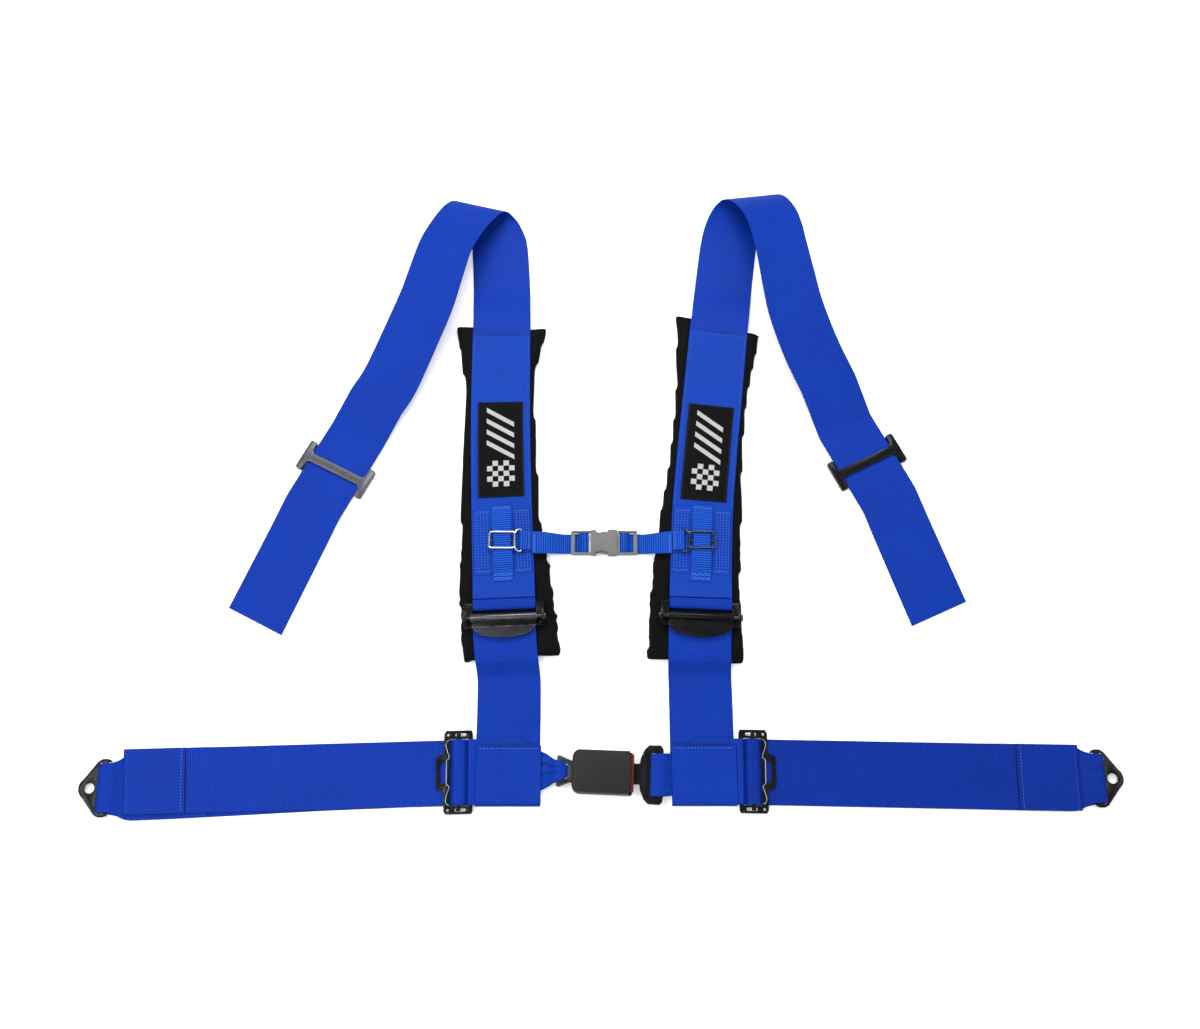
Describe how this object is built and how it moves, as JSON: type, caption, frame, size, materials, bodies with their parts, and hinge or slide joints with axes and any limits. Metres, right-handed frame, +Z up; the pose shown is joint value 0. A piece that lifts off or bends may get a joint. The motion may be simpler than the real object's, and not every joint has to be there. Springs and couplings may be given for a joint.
{
  "type": "racing harness",
  "caption": "Racing seat harness with padded shoulder straps, lap belts with bolt-in brackets, a chest strap and a push-button buckle.",
  "frame": {"origin": "on the table, under the middle of the whole laid-out harness", "axes": "+X towards the right lap belt, +Y towards the shoulder loops, +Z up off the table"},
  "size_m": [1.2248, 0.8386, 0.0459],
  "materials": {
    "webbing": "woven polyester, satin",
    "narrow_webbing": "ribbed woven polyester",
    "pad": "matt knit over foam",
    "label": "woven label",
    "black_steel": "black oxide, satin",
    "steel": "satin",
    "chrome_wire": "bright",
    "nickel_wire": "dark bright",
    "casing": "fine grain",
    "clip": "satin acetal",
    "button": "moulded"
  },
  "bodies": {
    "left_half": {"lap_webbing_left": "webbing", "lap_adjuster_frame_left": "black_steel", "lap_adjuster_spring_left": "chrome_wire", "inboard_webbing_left": "webbing", "shoulder_lower_webbing_left": "webbing", "shoulder_adjuster_frame_left": "black_steel", "cam_pin_left": "steel", "cam_spring_left": "steel", "shoulder_upper_webbing_left": "webbing", "pad_left": "pad", "pad_cover_left": "webbing", "label_left": "label", "chest_patch_left": "webbing", "ladder_strap_left": "narrow_webbing", "buckle_cover_top": "casing", "buckle_cover_bottom": "casing", "buckle_anchor_plate": "steel", "buckle_frame": "steel", "buckle_rivet": "steel", "buckle_ejector_spring": "steel", "buckle_button_spring_upper": "steel", "buckle_button_spring_lower": "steel"},
    "right_half": {"lap_webbing_right": "webbing", "lap_adjuster_frame_right": "black_steel", "lap_adjuster_spring_right": "chrome_wire", "inboard_webbing_right": "webbing", "shoulder_lower_webbing_right": "webbing", "shoulder_adjuster_frame_right": "black_steel", "cam_pin_right": "steel", "cam_spring_right": "steel", "shoulder_upper_webbing_right": "webbing", "pad_right": "pad", "pad_cover_right": "webbing", "label_right": "label", "chest_patch_right": "webbing", "ladder_strap_right": "narrow_webbing", "tongue_plate": "black_steel"},
    "chest_left": {"wire_slider_left": "chrome_wire", "chest_strap_left": "narrow_webbing", "chest_clip_socket": "clip"},
    "chest_right": {"wire_slider_right": "nickel_wire", "chest_strap_right": "narrow_webbing"},
    "chest_plug": {"chest_clip_plug": "clip"},
    "prong_upper": {"chest_clip_prong_upper": "clip"},
    "prong_lower": {"chest_clip_prong_lower": "clip"},
    "buckle_button": {"buckle_button": "button"},
    "buckle_latch": {"buckle_latch": "steel"},
    "buckle_ejector": {"buckle_ejector": "clip"},
    "anchor_left": {"anchor_bracket_left": "black_steel"},
    "slide_bar_left": {"lap_adjuster_bar_left": "black_steel"},
    "cam_lever_left": {"cam_lever_left": "black_steel"},
    "tail_slide_left": {"tail_slide_left": "black_steel"},
    "anchor_right": {"anchor_bracket_right": "black_steel"},
    "slide_bar_right": {"lap_adjuster_bar_right": "black_steel"},
    "cam_lever_right": {"cam_lever_right": "black_steel"},
    "tail_slide_right": {"tail_slide_right": "black_steel"}
  },
  "joints": [
    {"name": "tongue_release", "type": "slide", "parent": "left_half", "child": "right_half", "axis": [0.9992, -0.04, 0], "range_m": [0, 0.04], "deforming": ["buckle_latch", "chest_strap_right"]},
    {"name": "button_press", "type": "slide", "parent": "left_half", "child": "buckle_button", "axis": [-0.9992, 0.04, 0], "range_m": [0, 0.005], "stiffness_N_per_m": 600, "deforming": ["buckle_button_spring_upper", "buckle_button_spring_lower"]},
    {"name": "latch_lift", "type": "hinge", "parent": "left_half", "child": "buckle_latch", "pos_m": [-0.00215, -0.36495, 0.0134], "axis": [-0.04, -0.9992, 0], "range_deg": [0, 7.7]},
    {"name": "ejector_slide", "type": "slide", "parent": "left_half", "child": "buckle_ejector", "axis": [0.9992, -0.04, 0], "range_m": [0, 0.0042], "deforming": ["buckle_ejector_spring"]},
    {"name": "chest_left_slide", "type": "slide", "parent": "left_half", "child": "chest_left", "axis": [0, 1, 0], "range_m": [-0.012, 0.012]},
    {"name": "chest_right_slide", "type": "slide", "parent": "right_half", "child": "chest_right", "axis": [0, 1, 0], "range_m": [-0.012, 0.012]},
    {"name": "chest_plug_slide", "type": "slide", "parent": "chest_left", "child": "chest_plug", "axis": [1, 0, 0], "range_m": [0, 0.022], "deforming": ["chest_clip_prong_upper", "chest_clip_prong_lower", "chest_strap_right"]},
    {"name": "prong_upper_flex", "type": "hinge", "parent": "chest_plug", "child": "prong_upper", "pos_m": [0.01985, -0.07477, 0.0064], "axis": [0, 0, 1], "range_deg": [0, 8], "stiffness_Nm_per_rad": 0.4},
    {"name": "prong_lower_flex", "type": "hinge", "parent": "chest_plug", "child": "prong_lower", "pos_m": [0.01985, -0.09037, 0.0064], "axis": [0, 0, -1], "range_deg": [0, 8], "stiffness_Nm_per_rad": 0.4},
    {"name": "anchor_swing_left", "type": "hinge", "parent": "left_half", "child": "anchor_left", "pos_m": [-0.583, -0.38219, 0.005], "axis": [-0.028, 0.9996, 0], "range_deg": [0, 80]},
    {"name": "lap_bar_slide_left", "type": "slide", "parent": "left_half", "child": "slide_bar_left", "axis": [-0.9996, -0.028, 0], "range_m": [-0.001, 0.001]},
    {"name": "cam_lift_left", "type": "hinge", "parent": "left_half", "child": "cam_lever_left", "pos_m": [-0.11855, -0.18127, 0.0224], "axis": [-0.9991, -0.0419, 0], "range_deg": [0, 70], "stiffness_Nm_per_rad": 0.05, "deforming": ["cam_spring_left"]},
    {"name": "tail_slide_travel_left", "type": "slide", "parent": "left_half", "child": "tail_slide_left", "axis": [0.4564, 0.8897, 0], "range_m": [-0.03, 0.03]},
    {"name": "anchor_swing_right", "type": "hinge", "parent": "right_half", "child": "anchor_right", "pos_m": [0.58277, -0.37104, 0.005], "axis": [-0.0182, -0.9998, 0], "range_deg": [0, 80]},
    {"name": "lap_bar_slide_right", "type": "slide", "parent": "right_half", "child": "slide_bar_right", "axis": [0.9998, -0.0182, 0], "range_m": [-0.001, 0.001]},
    {"name": "cam_lift_right", "type": "hinge", "parent": "right_half", "child": "cam_lever_right", "pos_m": [0.12015, -0.18057, 0.0224], "axis": [-0.999, 0.0444, 0], "range_deg": [0, 70], "stiffness_Nm_per_rad": 0.05, "deforming": ["cam_spring_right"]},
    {"name": "tail_slide_travel_right", "type": "slide", "parent": "right_half", "child": "tail_slide_right", "axis": [-0.4439, 0.8961, 0], "range_m": [-0.03, 0.03]}
  ],
  "couplings": [
    {"joint": "latch_lift", "follows": "button_press", "rad_per_m": 26.529},
    {"joint": "ejector_slide", "follows": "tongue_release", "ratio": 0.1},
    {"joint": "chest_right_slide", "follows": "chest_left_slide", "ratio": 1},
    {"joint": "prong_lower_flex", "follows": "prong_upper_flex", "ratio": 1}
  ]
}
